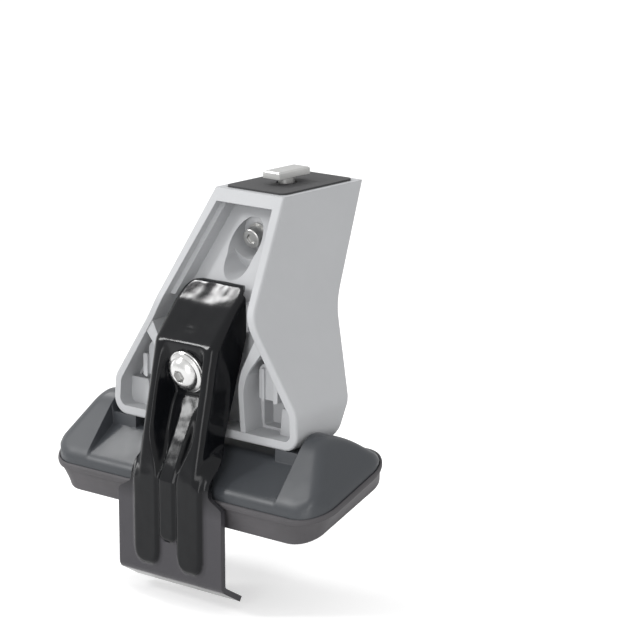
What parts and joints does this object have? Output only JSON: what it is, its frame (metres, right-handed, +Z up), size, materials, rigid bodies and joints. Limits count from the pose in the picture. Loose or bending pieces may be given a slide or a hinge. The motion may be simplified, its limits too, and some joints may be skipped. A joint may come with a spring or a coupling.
{
  "type": "roof bar foot",
  "caption": "Tower foot for a roof bar, with a pressed steel clamp bracket, a clamp screw and a rubber pad on a plastic saddle.",
  "frame": {"origin": "where the tee bolt's axis meets the plane of the bar seat", "axes": "+X along the car, along the pad's long side; +Y inwards along the bar; +Z up, square to the bar seat"},
  "size_m": [0.1512, 0.1059, 0.1681],
  "materials": {
    "housing": "light grey moulded plastic, fine grain",
    "bracket_paint": "glossy black coating on pressed steel",
    "saddle": "dark grey hard plastic, satin",
    "rubber": "matt dark rubber",
    "stainless": "bright stainless",
    "steel": "zinc plated",
    "liner": "soft matt liner",
    "plug": "grey moulded plastic"
  },
  "bodies": {
    "tower": {"tower_housing": "housing", "seat_liner": "liner", "wedge_plug": "plug", "bar_screw_washer": "steel", "clamp_nut": "steel", "nut_plug": "plug", "pad_saddle": "saddle", "rubber_pad": "rubber", "pad_screw_left": "steel", "pad_screw_right": "steel"},
    "bar_bolt": {"bar_screw": "steel"},
    "wedge": {"wedge_block": "steel"},
    "tee": {"tee_bolt": "steel", "tee_nut": "steel"},
    "bracket": {"clamp_bracket": "bracket_paint", "clamp_washer": "stainless"},
    "clamp_bolt": {"clamp_screw": "stainless"}
  },
  "joints": [
    {"name": "clamp_slide", "type": "slide", "parent": "tower", "child": "bracket", "axis": [0, -0.9703, -0.2419], "range_m": [0, 0.01]},
    {"name": "clamp_turn", "type": "hinge", "parent": "bracket", "child": "clamp_bolt", "pos_m": [0, -0.06262, -0.0694], "axis": [0, -0.9703, -0.2419], "range_deg": [0, 2880]},
    {"name": "bar_screw_turn", "type": "hinge", "parent": "tower", "child": "bar_bolt", "pos_m": [0, -0.02321, -0.0208], "axis": [0, -0.9703, -0.2419], "range_deg": [0, 1440]},
    {"name": "wedge_slide", "type": "slide", "parent": "tower", "child": "wedge", "axis": [0, 0.9703, 0.2419], "range_m": [0, 0.0032]},
    {"name": "tee_lift", "type": "slide", "parent": "tower", "child": "tee", "axis": [0, 0, 1], "range_m": [0, 0.0008]}
  ],
  "couplings": [
    {"joint": "clamp_turn", "follows": "clamp_slide", "rad_per_m": 5026.5},
    {"joint": "bar_screw_turn", "follows": "wedge_slide", "rad_per_m": 7854},
    {"joint": "tee_lift", "follows": "wedge_slide", "ratio": 0.24192}
  ]
}
